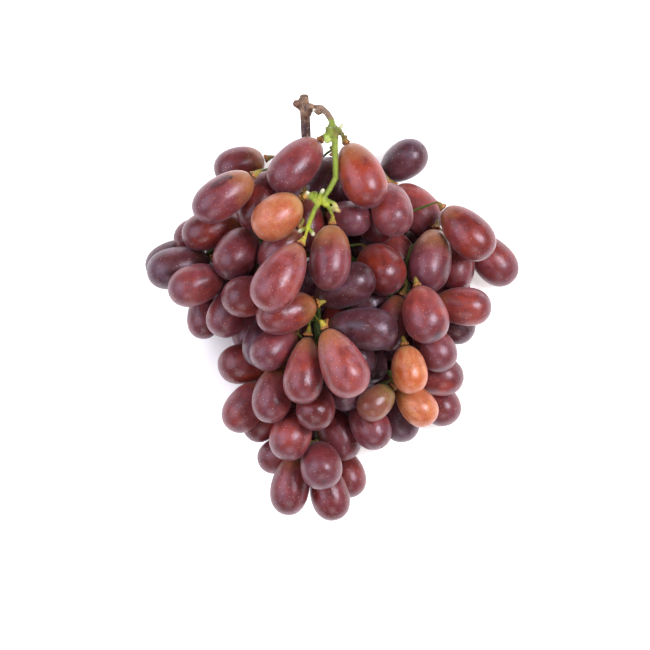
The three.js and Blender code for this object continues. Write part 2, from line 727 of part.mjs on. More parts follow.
function buildBunch() {
  const { berries, singles, groups, skeleton, routes } = growBunch();
  const bunch = new THREE.Group();
  const stem = new THREE.Mesh(geometryOf(stemSolid(skeleton, routes, berries)), material(COLOURS.stem));
  stem.name = "stem";
  bunch.add(stem);
  singles.forEach((berry, k) => {
    const colour = COLOURS.berry[k % COLOURS.berry.length];
    const mesh = placed(berry, new THREE.Mesh(berryGeometry(berry, SINGLE_SIDES), material(colour)));
    mesh.name = berry.name;
    bunch.add(mesh);
  });
  groups.forEach((group, k) => {
    const joined = group.map((berry) => berrySolid(berry, GROUP_SIDES)).reduce((a, b) => a.add(b));
    const colour = COLOURS.berry[k % COLOURS.berry.length];
    const mesh = new THREE.Mesh(geometryOf(joined), material(colour));
    mesh.name = `pressed_berries_${String(k + 1).padStart(2, "0")}`;
    bunch.add(mesh);
  });
  const box = new THREE.Box3().setFromObject(bunch, true);
  const middle = box.getCenter(new THREE.Vector3());
  bunch.position.set(-middle.x, -middle.y, -box.min.z);
  return bunch;
}

export default buildBunch();
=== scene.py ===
"""The looks of a bunch of long red table grapes, lying on its back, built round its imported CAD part.

Every berry is made again, round and smooth, where the CAD part has its faceted one. Its place, direction
and size are read from the flat facet that each CAD berry has at its stalk end, and the ring of corners next
to it. The stem is the CAD stem, made smooth, with a warty collar behind each berry and the cuts and scars
that lost stalks leave. Lengths are in metres unless a comment says mm, and colours are linear RGB.
"""

import math
import random

import bpy
import numpy as np
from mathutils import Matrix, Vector


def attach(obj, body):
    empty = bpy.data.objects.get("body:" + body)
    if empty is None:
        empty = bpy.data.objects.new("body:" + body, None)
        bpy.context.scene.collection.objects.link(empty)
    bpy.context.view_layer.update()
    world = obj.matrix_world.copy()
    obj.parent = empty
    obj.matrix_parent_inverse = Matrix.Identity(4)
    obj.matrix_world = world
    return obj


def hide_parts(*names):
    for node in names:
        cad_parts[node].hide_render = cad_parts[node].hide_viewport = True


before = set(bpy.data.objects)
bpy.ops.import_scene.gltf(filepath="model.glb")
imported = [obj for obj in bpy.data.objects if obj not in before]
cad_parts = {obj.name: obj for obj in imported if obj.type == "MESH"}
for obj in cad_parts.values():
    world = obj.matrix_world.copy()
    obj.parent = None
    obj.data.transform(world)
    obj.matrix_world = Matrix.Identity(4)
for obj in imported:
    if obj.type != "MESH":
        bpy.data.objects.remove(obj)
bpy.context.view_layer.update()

MM = 0.001

# ---- What is known of the CAD part's berries ----
SEAT_RADIUS = 2.2 * MM
SEAT_TOLERANCE = 0.04 * MM
SEAT_CORNERS = 8  # a seat's rim has at least this many
FIRST_RING = 0.13  # the share of a berry's length between its seat and the next ring of corners
CAD_TAPER = 0.09
WELD = 0.01 * MM  # corners nearer than this are one
SAME_PLANE = 0.9998  # the least cosine between the normals of two faces in one plane
LENGTH_STEP = 0.2 * MM  # sizes read from the ring are counted in these steps, and the commonest is right
RADIUS_STEP = 0.1 * MM

# ---- Berry meshes ----
SIDES = 44
RINGS = 30
LENGTHWISE_POWER = 2.2  # an ellipse has 2 for both powers, and more is blunter
CROSSWISE_POWER = 2.1
WIDEST_PLACE = 0.1  # about where along its axis, from -1 to 1, a tapered berry is widest
BEND_CENTRE = 0.3  # keeps a bent berry over its own axis
STALK_DIP = (0.55 * MM, 1.5 * MM)  # depth and radius
TIP_DIP = (0.28 * MM, 0.6 * MM)
CONTACT_GAP = 0.04 * MM
CONTACT_SOFTNESS = 0.22 * MM
CONTACT_DEPTH = 6 * CONTACT_SOFTNESS  # skin this far on its own side of the plane stays where it is
CONTACT_REACH = 0.15 * MM  # berries further apart than this don't press on each other
CONTACT_RADIUS = 9 * MM
SCAR_RADIUS = 0.75 * MM
STALK_RING_RADIUS = 1.3 * MM
BRUISE_LENGTH = 13.0 * MM
BRUISE_WIDTH = 5.0 * MM

# ---- What differs from berry to berry, as the ends of the range it is drawn from ----
TAPERS = (-0.03, 0.07)
BENDS = (-0.35 * MM, 0.35 * MM)
TWO_LOBES = (0, 0.012)
THREE_LOBES = (0, 0.008)
LOBE_TURNS = (0, 6)
TURNS = (0, 2 * math.pi)
TONES = (0, 0.45)
REDS = (0.0, 0.45)
STALK_ENDS = (0.0, 0.4)
DUSTS = (0.0, 0.05)
SHIFTS = (-9, 9)  # how far the noise of a skin is moved, so that no two are alike
# Dark violet berries are put inside the bunch far more often than among the seen ones, as painted shade deep
# in the bunch.
DARK_INSIDE_PAINTED_SHADE = 0.35  # the share of dark violet berries inside the bunch
DARK_SEEN = 0.07

# ---- Skins ----
# Each class of berry has a body colour, a darker one, a glow colour and a stalk end, and how strong its
# mottles, flushes, dark tip and bloom are. The glow colour is the skin's own red-orange mottling, painted
# bright as a painted glow of light shining through the skin.
SKINS = {
    "berry_wine_red": dict(
        body=(0.190, 0.014, 0.010),
        dark=(0.080, 0.007, 0.008),
        glow=(0.37, 0.042, 0.008),
        end=(0.34, 0.14, 0.03),
        mottle=0.24, flush=0.12, tip=0.75, bloom=0.1,
    ),
    "berry_pink_red": dict(
        body=(0.25, 0.034, 0.028),
        dark=(0.13, 0.014, 0.014),
        glow=(0.40, 0.06, 0.018),
        end=(0.40, 0.16, 0.04),
        mottle=0.3, flush=0.15, tip=0.6, bloom=0.15,
    ),
    "berry_dark_violet": dict(
        body=(0.085, 0.010, 0.013),
        dark=(0.036, 0.006, 0.009),
        glow=(0.16, 0.02, 0.010),
        end=(0.14, 0.05, 0.02),
        mottle=0.2, flush=0.05, tip=0.6, bloom=0.13,
    ),
    "berry_amber": dict(
        body=(0.64, 0.27, 0.10),
        dark=(0.44, 0.11, 0.022),
        glow=(0.42, 0.055, 0.008),
        end=(0.50, 0.32, 0.08),
        mottle=0.78, flush=0.30, tip=0.30, bloom=0.06,
    ),
    "berry_olive": dict(
        body=(0.26, 0.075, 0.030),
        dark=(0.16, 0.036, 0.020),
        glow=(0.27, 0.13, 0.03),
        end=(0.22, 0.19, 0.03),
        mottle=0.5, flush=0.2, tip=0.5, bloom=0.09,
    ),
}
BLOOM = (0.42, 0.28, 0.42)
GRAIN_SHADE = (0.62, 0.60, 0.60)
LENTICEL = (0.66, 0.44, 0.38)
SPOT = (0.05, 0.02, 0.02)
BRUISE = (0.035, 0.014, 0.018)
TIP_SCAR = (0.05, 0.028, 0.02)
STALK_RING = (0.13, 0.06, 0.03)
SHEEN = (0.78, 0.66, 0.84)
GLOSS = (0.93, 0.88, 1.0)
LONG_GRAIN = (1.0, 1.0, 0.4)  # stretches a berry's noise along its axis

# Scales of the noises on the skins, per metre: a bigger one is finer.
FLUSH_SCALE = 60.0
PATCH_SCALE = 130.0
DENT_SCALE = 190.0
RAGGED_SCALE = 210.0
STREAK_SCALE = 420.0
CRAZE_SCALE = 500.0
LENTICEL_SCALE = 780.0
RUBBED_SCALE = 900.0
GRAIN_SCALE = 1500.0

# ---- Stem ----
STEM_VOXEL = 0.42 * MM
STEM_SMOOTHING = (0.5, 3)  # strength and rounds
STEM_FACES_KEPT = 0.4
STEM_WELD = 0.03 * MM
KNOB_RADIUS = 2.45 * MM
KNOB_DEPTH = 1.4 * MM
STALK_SLEEVE = 1.05 * MM  # radius of the stalks that show on top of the bunch
SLEEVE_LENGTH = 4.2 * MM
HIGH_SEAT = 45 * MM  # seats above this are on top of the bunch
KNOB_SIZES = (0.86, 1.05)
KNOB_SIDES = 14
KNOB_ROUGHNESS = 0.17
KNOB_SUNK = 0.1 * MM
COLLAR_LENGTH = 1.2 * MM  # how far behind a seat the stem is all cork
CORKY_STALK = (3.5 * MM, 0.35)  # how far behind it is still a little corky, and how much
CORK_AHEAD = 1.5 * MM
CORK_RADIUS = 3.2 * MM
SCAR_SIDES = 12
SCAR_ROUGHNESS = 0.1
SCAR_LATITUDES = (-1.3, -0.8, -0.3, 0.3, 0.8, 1.3)
SCAR_REACH = 3.0 * MM  # how far from its place a scar takes its height
STUB_REACH = 1.5 * MM
TOP_BRANCH = 3.5 * MM  # thickness of the branch that scars sit on
WOOD = (0.30, 0.175, 0.10)
DARK_WOOD = (0.09, 0.050, 0.042)
PURPLE_WOOD = (0.075, 0.04, 0.055)
WING_GREEN = (0.45, 0.50, 0.04)
LEAF_GREEN = (0.20, 0.27, 0.022)
# Painted shade: the stem's dark green low down, deep inside the bunch.
DEEP_SHADE_GREEN = (0.10, 0.15, 0.03)
CORK = (0.56, 0.22, 0.06)
CORK_DARK = (0.07, 0.03, 0.015)
CREAM = (0.86, 0.84, 0.66)
PINK_CORK = (0.42, 0.20, 0.14)
DRIED = (0.15, 0.085, 0.03)
DARK_BARK = (0.09, 0.05, 0.03)
STRAW = (0.62, 0.52, 0.20)
CUT_GREEN = (0.55, 0.68, 0.20)
RED_BARK = (0.10, 0.035, 0.03)
FLAKE = (0.42, 0.27, 0.17)
BLOTCH = (0.45, 0.45, 0.40)
SPECK = (0.10, 0.05, 0.02)

# Where the stem's colours change, in mm, from the first to the last of each.
LEAF_FROM_HEIGHT = (44, 58)
WING_FROM_HEIGHT = (66, 73)
TRUNK_HEIGHT = 62
TRUNK_RIGHT_EDGE = (-7.4, -8.9)
TRUNK_LEFT_EDGE = -15.6
TRUNK_LEFT_AT_CUT = -19  # the cut end is wider, for this far back
CUT_LENGTH = 10
TRUNK_WOOD_ENDS = (30, 22)
TRUNK_PURPLE_STARTS = (9, 15)
TRUNK_PURPLE_ENDS = (34, 26)
ARM_WOOD_ENDS = (12.5, 11.0)
ARM_WOOD_LEFT = -9

# Scales of the noises on the stem, per metre.
BLOTCH_SCALE = 600.0
FLAKE_SCALE = 1000.0
CRUMB_SCALE = 1300.0
BARK_RELIEF_SCALE = 1400.0
BARK_SCALE = 1500.0
SPECK_SCALE = 1900.0

# Old cuts, warts and scars on the stem where it shows: x, y and radius in mm, and colour. Their height is the
# stem's own there.
SCARS = (
    (-12.0, 90.8, 2.9, WOOD),
    (-12.3, 94.2, 2.4, WOOD),
    (-13.2, 97.4, 1.9, WOOD),
    (-9.9, 93.0, 1.9, WOOD),
    (-16.4, 94.6, 1.9, RED_BARK),
    (-12.2, 97.4, 1.7, WOOD),
    (-8.2, 91.4, 0.95, CREAM),
    (-6.9, 90.6, 1.2, DARK_WOOD),
    (-1.9, 82.2, 1.2, DARK_BARK),
    (1.8, 82.4, 1.1, DRIED),
    (4.6, 84.0, 1.15, CREAM),
    (3.6, 81.6, 1.2, DARK_BARK),
    (4.7, 80.1, 1.2, DARK_BARK),
    (6.2, 78.9, 1.1, DRIED),
    (-0.6, 80.6, 1.7, LEAF_GREEN),
    (1.8, 80.0, 1.5, DRIED),
    (1.2, 77.4, 1.7, LEAF_GREEN),
    (-3.0, 79.4, 1.3, LEAF_GREEN),
    (-4.6, 78.8, 1.2, DRIED),
    (-5.9, 77.8, 1.2, CORK),
    (-2.1, 77.2, 1.6, CUT_GREEN),
    (-0.4, 73.8, 1.0, DARK_BARK),
    (2.4, 78.4, 0.8, DARK_BARK),
    (-0.2, 78.8, 0.8, DARK_BARK),
    (-2.8, 47.9, 1.7, WING_GREEN),
    (-6.0, 49.9, 2.0, WING_GREEN),
    (-4.2, 54.1, 1.05, CREAM),
    (-7.6, 52.4, 1.5, LEAF_GREEN),
    (-9.5, 52.0, 1.5, LEAF_GREEN),
    (-8.6, 53.4, 0.8, DARK_BARK),
    (-11.3, 53.2, 1.0, CREAM),
    (-12.3, 51.4, 1.3, CORK),
    (-10.8, 50.4, 0.9, DARK_BARK),
    (-0.8, 45.8, 1.3, LEAF_GREEN),
    (0.6, 45.2, 0.8, DARK_BARK),
    (1.6, 46.8, 1.5, STRAW),
    (2.2, 45.2, 1.2, STRAW),
    (3.1, 44.9, 1.2, PINK_CORK),
)
# The pale ends of two lost stalks at the end of the arm: x, y and radius in mm.
STUB_ENDS = ((-14.6, 35.5, 1.15), (-8.6, 34.1, 1.15))

# ---- Stage ----
FLOOR_SIZE = 24
FLOOR_HEIGHT = -0.0002
FLOOR_WHITE = (0.93, 0.93, 0.93)
FLOOR_FLECK = (0.8, 0.8, 0.8)
FLECK_SCALE = 30.0
HAZE_SCALE = 0.5
# The floor's glow: the distances from the middle where it starts and is full, and how much it is. The near
# glow is missing right under the bunch, which leaves a painted shadow there.
NEAR_GLOW_ROUND_PAINTED_SHADOW = (0.045, 0.085, 0.7)
FAR_GLOW = (0.6, 1.6, 0.3)
WALL_RADIUS = 9
WALL_HEIGHT = 10
WALL_SUNK = 0.1
WALL_SIDES = 96
WALL_GLOW = 1.05
WORLD_TINT = (1.0, 0.86, 0.82, 1.0)
WORLD_STRENGTH = 0.31
AIM = (0, 0, 0.04)  # what the lamps point at
# Name, place, size, watts and tint of each lamp.
LAMPS = (
    ("key", (0.50, 0.16, 0.78), 0.36, 9.4, (0.97, 0.95, 1.0)),
    ("fill", (-0.58, 0.10, 0.66), 0.85, 6.7, (0.80, 0.84, 1.0)),
    ("front", (0.02, -0.75, 0.60), 0.5, 2.4, (1.0, 0.95, 0.92)),
)
CAMERA_PLACE = (-3.2 * MM, -7.5 * MM, 4.0)
CAMERA_LENS = 475.5
CAMERA_SENSOR = 36
CAMERA_CLIP = (0.05, 20)


def unit(v):
    return v / np.linalg.norm(v)


def points_and_faces(obj):
    """The object's corners, each once, and its triangles as indices into them."""
    mesh = obj.data
    mesh.calc_loop_triangles()
    co = np.zeros(len(mesh.vertices) * 3)
    mesh.vertices.foreach_get("co", co)
    tri = np.zeros(len(mesh.loop_triangles) * 3, np.int64)
    mesh.loop_triangles.foreach_get("vertices", tri)
    keys = np.round(co.reshape(-1, 3) / WELD).astype(np.int64)
    _, first, inverse = np.unique(keys, axis=0, return_index=True, return_inverse=True)
    faces = inverse.reshape(-1)[tri].reshape(-1, 3)
    whole = (faces[:, 0] != faces[:, 1]) & (faces[:, 1] != faces[:, 2]) & (faces[:, 2] != faces[:, 0])
    return co.reshape(-1, 3)[first], faces[whole]


def flat_patches(points, faces):
    """Groups of faces that join and lie in one plane, with the plane's normal."""
    a, b, c = (points[faces[:, k]] for k in range(3))
    normal = np.cross(b - a, c - a)
    normal /= np.maximum(np.linalg.norm(normal, axis=1), 1e-18)[:, None]
    by_edge = {}
    for f, corners in enumerate(faces):
        for k in range(3):
            edge = tuple(sorted((int(corners[k]), int(corners[(k + 1) % 3]))))
            by_edge.setdefault(edge, []).append(f)
    near = [[] for _ in faces]
    for owners in by_edge.values():
        for f in owners:
            near[f] += [g for g in owners if g != f and normal[f] @ normal[g] > SAME_PLANE]
    seen = set()
    for start in range(len(faces)):
        if start in seen:
            continue
        group, queue = [], [start]
        seen.add(start)
        while queue:
            f = queue.pop()
            group.append(f)
            for g in near[f]:
                if g not in seen:
                    seen.add(g)
                    queue.append(g)
        yield group, normal[start]


def profile(along, taper=CAD_TAPER):
    """A berry's radius at a place along its axis, from -1 to 1, as a share of its greatest."""
    left = np.clip(1 - np.power(np.abs(along), LENGTHWISE_POWER), 0, 1)
    round_part = np.power(left, 1 / CROSSWISE_POWER)
    return round_part * (1 + taper * along) / (1 + taper * WIDEST_PLACE)


def find_berries(name, obj):
    """The berries of a CAD node: the middle of each one's seat, its axis to the tip, length and radius."""
    points, faces = points_and_faces(obj)
    beside = {}
    for corners in faces:
        for k in range(3):
            beside.setdefault(int(corners[k]), set()).update(int(v) for v in corners)
    found = []
    for group, normal in flat_patches(points, faces):
        corners = sorted({int(v) for f in group for v in faces[f]})
        if len(corners) < SEAT_CORNERS:
            continue
        seat = points[corners].mean(0)
        away = np.linalg.norm(points[corners] - seat, axis=1)
        rim = [v for v, d in zip(corners, away) if abs(d - SEAT_RADIUS) < SEAT_TOLERANCE]
        if len(rim) < SEAT_CORNERS or len(rim) < len(corners) - 1:
            continue
        seat = points[rim].mean(0)
        axis = unit(-normal)
        votes = {}
        for v in {w for r in rim for w in beside[r]} - set(corners):
            height = (points[v] - seat) @ axis
            aside = np.linalg.norm(points[v] - seat - height * axis)
            length = height / FIRST_RING
            radius = aside / profile(2 * FIRST_RING - 1)
            key = (round(length / LENGTH_STEP), round(radius / RADIUS_STEP))
            votes.setdefault(key, []).append((length, radius))
        length, radius = np.mean(max(votes.values(), key=len), axis=0)
        found.append(dict(node=name, seat=seat, axis=axis, length=length, radius=radius))
    return found


# ---- Each berry's own character, listed where it is plain to see ----
PEAR_SHAPED = {"front_berry_12": 0.2, "front_berry_13": 0.24, "front_berry_03": 0.14, "front_berry_10": 0.16}
LONG_STALK_END = {
    "front_berry_02": 0.4,
    "front_berry_04": 1.0,
    "front_berry_05": 1.0,
    "front_berry_11": 0.7,
    "front_berry_12": 0.7,
    "front_berry_13": 0.8,
    "left_shoulder_berry_01": 0.8,
    "left_shoulder_berry_02": 1.0,
    "left_shoulder_berry_03": 0.4,
    "right_shoulder_berry_05": 1.0,
    "left_side_berry_02": 0.6,
    "left_side_berry_04": 0.5,
    "right_side_berry_05": 0.8,
    "tail_berry_04": 0.5,
}
REDDER = {
    "front_berry_05": 1.0,
    "front_berry_12": 0.9,
    "front_berry_13": 0.6,
    "front_berry_14": 1.0,
    "front_berry_15": 0.7,
    "front_berry_16": 0.9,
    "right_shoulder_berry_02": 0.9,
    "right_shoulder_berry_06": 1.3,
    "right_side_berry_02": 0.9,
    "left_side_berry_02": 0.8,
    "left_side_berry_03": 1.1,
    "tail_berry_01": 0.7,
}
# Where the bruise is: the share of the length from the stalk, and the side of the berry, in the bunch's axes.
BRUISED = {
    "left_shoulder_berry_02": (0.45, (-0.2, 0.62, 0.72)),
    "front_berry_16": (0.95, (0.3, -0.1, 0.4)),
}
SLOT_OF = {
    "front_berry_02": "berry_amber",
    "right_side_berry_03": "berry_amber",
    "right_side_berry_04": "berry_amber",
    "right_side_berry_05": "berry_olive",
    "front_berry_03": "berry_pink_red",
    "front_berry_12": "berry_pink_red",
    "left_shoulder_berry_04": "berry_dark_violet",
    "front_berry_10": "berry_dark_violet",
    "right_shoulder_berry_01": "berry_dark_violet",
    "right_side_berry_06": "berry_dark_violet",
}


def frame_of(axis):
    """Two directions square to the axis."""
    side = unit(np.cross(axis, (0.0, 0.0, 1.0) if abs(axis[2]) < 0.9 else (1.0, 0.0, 0.0)))
    return side, np.cross(axis, side)


def surface(berry):
    """Points of a berry's skin, ring by ring from the seat to the tip, with where each is along the axis."""
    taper, bend, lobes = berry["taper"], berry["bend"], berry["lobes"]
    theta = np.linspace(0, math.pi, RINGS + 2)
    along = -np.cos(theta)
    around = np.arange(SIDES) * 2 * math.pi / SIDES
    share = profile(along, taper) / profile(np.linspace(-1, 1, 201), taper).max()
    half = berry["length"] / 2
    a, t = np.meshgrid(along, around, indexing="ij")
    r = np.repeat(share[:, None], SIDES, 1) * berry["radius"]
    swell = 1 + lobes[0] * np.cos(2 * t + lobes[1]) + lobes[2] * np.cos(3 * t + lobes[3] + 2 * a)
    r = r * swell
    height = a * half
    # The skin dips round the stalk and, a little, at the scar on the tip.
    height = height + STALK_DIP[0] * np.exp(-((r / STALK_DIP[1]) ** 2)) * (a < 0)
    height = height - TIP_DIP[0] * np.exp(-((r / TIP_DIP[1]) ** 2)) * (a > 0)
    x = r * np.cos(t) + bend * (a**2 - BEND_CENTRE)
    y = r * np.sin(t)
    local = np.stack([x, y, height], -1)
    rows = [local[0].mean(0)[None], local[1:-1].reshape(-1, 3), local[-1].mean(0)[None]]
    places = np.concatenate(rows)
    shares = np.concatenate([[0.0], ((a[1:-1] + 1) / 2).ravel(), [1.0]])
    return places, shares


def ring_faces():
    """The faces of a berry's mesh: a fan at each end and quads between the rings."""
    faces = [(0, 1 + (k + 1) % SIDES, 1 + k) for k in range(SIDES)]
    for ring in range(RINGS - 1):
        low = 1 + ring * SIDES
        for k in range(SIDES):
            n = (k + 1) % SIDES
            faces.append((low + k, low + n, low + SIDES + n, low + SIDES + k))
    last = 1 + RINGS * SIDES
    top = last - SIDES
    faces += [(last, top + k, top + (k + 1) % SIDES) for k in range(SIDES)]
    return faces


def filling_spheres(berry):
    """Centres and radii of spheres that fill a berry."""
    along = np.linspace(-1, 1, 61)
    shares = np.linspace(0.1, 0.9, 17)
    edge = berry["radius"] * profile(along, berry["taper"])
    centres = berry["seat"] + shares[:, None] * berry["length"] * berry["axis"]
    offset = (along[None] / 2 + 0.5 - shares[:, None]) * berry["length"]
    return centres, np.hypot(offset, edge[None]).min(1)


def press_apart(berries):
    """Flattens each berry where it presses on another, to the plane halfway between them."""
    spheres = [filling_spheres(b) for b in berries]
    for i, one in enumerate(berries):
        for j in range(i + 1, len(berries)):
            other = berries[j]
            reach = (one["length"] + other["length"]) / 2
            if np.linalg.norm(one["middle"] - other["middle"]) > reach:
                continue
            (ca, ra), (cb, rb) = spheres[i], spheres[j]
            between = cb[None] - ca[:, None]
            far = np.linalg.norm(between, axis=2)
            gap = far - ra[:, None] - rb[None]
            p, q = np.unravel_index(gap.argmin(), gap.shape)
            if gap[p, q] > CONTACT_REACH:
                continue
            normal = between[p, q] / far[p, q]
            plane = ca[p] + normal * (ra[p] + gap[p, q] / 2)
            for berry, sign in ((one, 1.0), (other, -1.0)):
                depth = (berry["points"] - plane) @ normal * sign + CONTACT_GAP
                soft = -CONTACT_SOFTNESS * np.logaddexp(0, -depth / CONTACT_SOFTNESS)
                moved = np.where(depth > -CONTACT_DEPTH, soft, depth)
                near = np.linalg.norm(berry["points"] - plane, axis=1) < CONTACT_RADIUS
                berry["points"] += np.where(near, moved - depth, 0.0)[:, None] * normal * sign


def new_mesh(name, points, faces):
    """A smooth-shaded object in the scene."""
    mesh = bpy.data.meshes.new(name)
    mesh.from_pydata([tuple(p) for p in points], [], faces)
    mesh.validate()
    mesh.shade_smooth()
    obj = bpy.data.objects.new(name, mesh)
    bpy.context.scene.collection.objects.link(obj)
    return obj


def put(mesh, name, kind, values):
    """Gives every corner of a mesh a value that its material reads."""
    layer = mesh.attributes.new(name, kind, "POINT")
    field = {"FLOAT": "value", "FLOAT_VECTOR": "vector", "FLOAT_COLOR": "color"}[kind]
    layer.data.foreach_set(field, np.asarray(values, np.float32).ravel())


# ---- Shader helpers ----
class Nodes:
    """A short way to write a node tree."""

    def __init__(self, name):
        self.material = bpy.data.materials.new(name)
        self.material.use_nodes = True
        self.tree = self.material.node_tree
        self.tree.nodes.clear()
        self.output = self.tree.nodes.new("ShaderNodeOutputMaterial")

    def add(self, kind, inputs=(), **settings):
        node = self.tree.nodes.new("ShaderNode" + kind)
        for key, value in settings.items():
            setattr(node, key, value)
        for key, value in dict(inputs).items():
            self.feed(node.inputs[key], value)
        return node

    def feed(self, socket, value):
        if isinstance(value, bpy.types.NodeSocket):
            self.tree.links.new(value, socket)
        elif isinstance(value, (tuple, list)) and len(value) == 3 and len(socket.default_value) == 4:
            socket.default_value = (*value, 1.0)
        else:
            socket.default_value = value

    def attribute(self, name, output="Fac"):
        return self.add("Attribute", attribute_name=name).outputs[output]

    def math(self, operation, a, b=0.0, clamp=False):
        node = self.add("Math", operation=operation, use_clamp=clamp)
        self.feed(node.inputs[0], a)
        self.feed(node.inputs[1], b)
        return node.outputs[0]

    def span(self, value, low, high, to_low=0.0, to_high=1.0):
        """value from low..high to to_low..to_high, smoothly and clamped."""
        inputs = {"Value": value, "From Min": low, "From Max": high, "To Min": to_low, "To Max": to_high}
        return self.add("MapRange", inputs, interpolation_type="SMOOTHSTEP").outputs["Result"]

    def mix(self, share, a, b, blend="MIX"):
        node = self.add("Mix", data_type="RGBA", blend_type=blend, clamp_factor=True)
        self.feed(node.inputs["Factor"], share)
        self.feed(node.inputs["A"], a)
        self.feed(node.inputs["B"], b)
        return node.outputs["Result"]

    def noise(self, vector, scale, detail=3.0, roughness=0.55, distortion=0.0):
        inputs = {
            "Vector": vector,
            "Scale": scale,
            "Detail": detail,
            "Roughness": roughness,
            "Distortion": distortion,
        }
        return self.add("TexNoise", inputs, noise_dimensions="3D").outputs["Fac"]

    def stretch(self, vector, scale):
        node = self.add("Mapping", {"Vector": vector}, vector_type="POINT")
        node.inputs["Scale"].default_value = scale
        return node.outputs["Vector"]


def skin_material(slot, skin):
    """The skin of one class of berry. What differs between its berries comes from values on their meshes."""
    n = Nodes("skin_" + slot)
    place = n.attribute("place", "Vector")
    along = n.attribute("along")
    tone = n.attribute("tone")
    red = n.attribute("red")
    stalk_end = n.attribute("stalk_end")

    patches = n.span(n.noise(place, PATCH_SCALE, 4.0, 0.6, 0.3), 0.30, 0.70)
    colour = n.mix(patches, skin["dark"], skin["body"])
    colour = n.mix(n.math("MULTIPLY", tone, 0.75), colour, skin["dark"])
    # Streaks and flushes in the glow colour: the skin's own red-orange mottling, painted bright as a painted
    # glow of light shining through the skin, at random places.
    streaks = n.span(n.noise(n.stretch(place, LONG_GRAIN), STREAK_SCALE, 5.0, 0.7, 0.5), 0.44, 0.74)
    mottle = n.math("ADD", n.math("MULTIPLY", red, 0.45), skin["mottle"])
    glow = n.math("MULTIPLY", streaks, mottle, clamp=True)
    colour = n.mix(glow, colour, skin["glow"])
    flush = n.span(n.noise(place, FLUSH_SCALE, 3.0, 0.6), 0.46, 0.64)
    blush = n.math("ADD", n.math("MULTIPLY", red, 0.50), skin["flush"])
    blush = n.math("MULTIPLY", flush, blush)
    blush = n.math("ADD", blush, n.math("MULTIPLY", red, 0.18), clamp=True)
    colour = n.mix(blush, colour, skin["glow"])

    # The whole skin is finely grained.
    fine = n.span(n.noise(place, GRAIN_SCALE, 3.0, 0.7), 0.38, 0.62, 0.0, 0.7)
    colour = n.mix(fine, colour, GRAIN_SHADE, "MULTIPLY")

    # It is darker and more violet at the tip, which ripens first.
    uneven = n.math("MULTIPLY", n.math("SUBTRACT", patches, 0.5), 0.25)
    ripe = n.span(n.math("ADD", along, uneven), 0.55, 1.05)
    colour = n.mix(n.math("MULTIPLY", ripe, skin["tip"]), colour, skin["dark"])

    # The skin pales to amber and green where the stalk holds it.
    ragged = n.math("MULTIPLY", n.math("SUBTRACT", n.noise(place, RAGGED_SCALE, 4.0, 0.65), 0.5), 0.5)
    reach = n.math("ADD", n.math("MULTIPLY", stalk_end, 0.28), 0.22)
    near_stalk = n.span(n.math("DIVIDE", n.math("ADD", along, ragged), reach), 1.0, 0.0)
    strength = n.math("ADD", n.math("MULTIPLY", stalk_end, 0.62), 0.28)
    near_stalk = n.math("MULTIPLY", near_stalk, strength, clamp=True)
    colour = n.mix(near_stalk, colour, skin["end"])

    # Lenticels are pale points, and a few dark ones are marks.
    inputs = {"Vector": place, "Scale": LENTICEL_SCALE}
    cells = n.add("TexVoronoi", inputs, voronoi_dimensions="3D", feature="F1")
    chosen = n.add("SeparateColor", {0: cells.outputs["Color"]})
    dot = n.span(cells.outputs["Distance"], 0.24, 0.12)
    pale = n.math("MULTIPLY", dot, n.span(chosen.outputs[0], 0.62, 0.70))
    wide_dot = n.span(cells.outputs["Distance"], 0.30, 0.16)
    mark = n.math("MULTIPLY", wide_dot, n.span(chosen.outputs[1], 0.90, 0.93))
    colour = n.mix(n.math("MULTIPLY", pale, 0.42), colour, LENTICEL)
    colour = n.mix(n.math("MULTIPLY", mark, 0.55), colour, SPOT)

    # Bloom is a thin wax, rubbed off in places, that greys the skin and dulls its shine.
    cloud = n.span(n.noise(place, PATCH_SCALE, 5.0, 0.68, 0.6), 0.40, 0.68)
    rubbed = n.span(n.noise(place, RUBBED_SCALE, 3.0, 0.6), 0.34, 0.60, 0.45, 1.0)
    bloom = n.math("MULTIPLY", n.math("MULTIPLY", cloud, rubbed), skin["bloom"])
    bloom = n.math("ADD", bloom, n.attribute("dust"), clamp=True)
    colour = n.mix(bloom, colour, BLOOM)

    # A bruise is a dark, crazed patch.
    bruise = n.span(n.math("ADD", n.attribute("bruise"), ragged), 0.42, 0.58)
    craze = n.noise(n.stretch(place, LONG_GRAIN), CRAZE_SCALE, 5.0, 0.7, 1.5)
    crazed = n.span(craze, 0.44, 0.56, 0.35, 0.95)
    colour = n.mix(n.math("MULTIPLY", bruise, crazed), colour, BRUISE)

    # The dry scar at the tip and the brown ring round the stalk.
    scar = n.attribute("scar")
    colour = n.mix(scar, colour, TIP_SCAR)
    ring = n.attribute("stalk_ring")
    colour = n.mix(n.math("MULTIPLY", ring, 0.8), colour, STALK_RING)

    grain = n.noise(place, GRAIN_SCALE, 3.0, 0.6)
    dents = n.noise(place, DENT_SCALE, 2.0, 0.5)
    relief = n.math("ADD", n.math("MULTIPLY", grain, 0.27), dents)
    relief = n.math("ADD", relief, n.math("MULTIPLY", pale, 0.06))
    bump = n.add("Bump", {"Height": relief, "Strength": 0.55, "Distance": 0.5 * MM})
    rough = n.math("ADD", n.math("MULTIPLY", bloom, 0.6), 0.29)
    rough = n.math("ADD", rough, n.math("MULTIPLY", scar, 0.4), clamp=True)

    skin_shader = n.add("BsdfPrincipled", {
        "Base Color": colour,
        "Roughness": rough,
        "IOR": 1.52,
        "Specular Tint": GLOSS,
        "Subsurface Weight": 0.42,
        "Subsurface Radius": (1.0, 0.2, 0.08),
        "Subsurface Scale": 4.0 * MM,
        "Sheen Weight": 0.09,
        "Sheen Roughness": 0.42,
        "Sheen Tint": SHEEN,
        "Normal": bump.outputs["Normal"],
    })
    n.tree.links.new(skin_shader.outputs[0], n.output.inputs["Surface"])
    return n.material


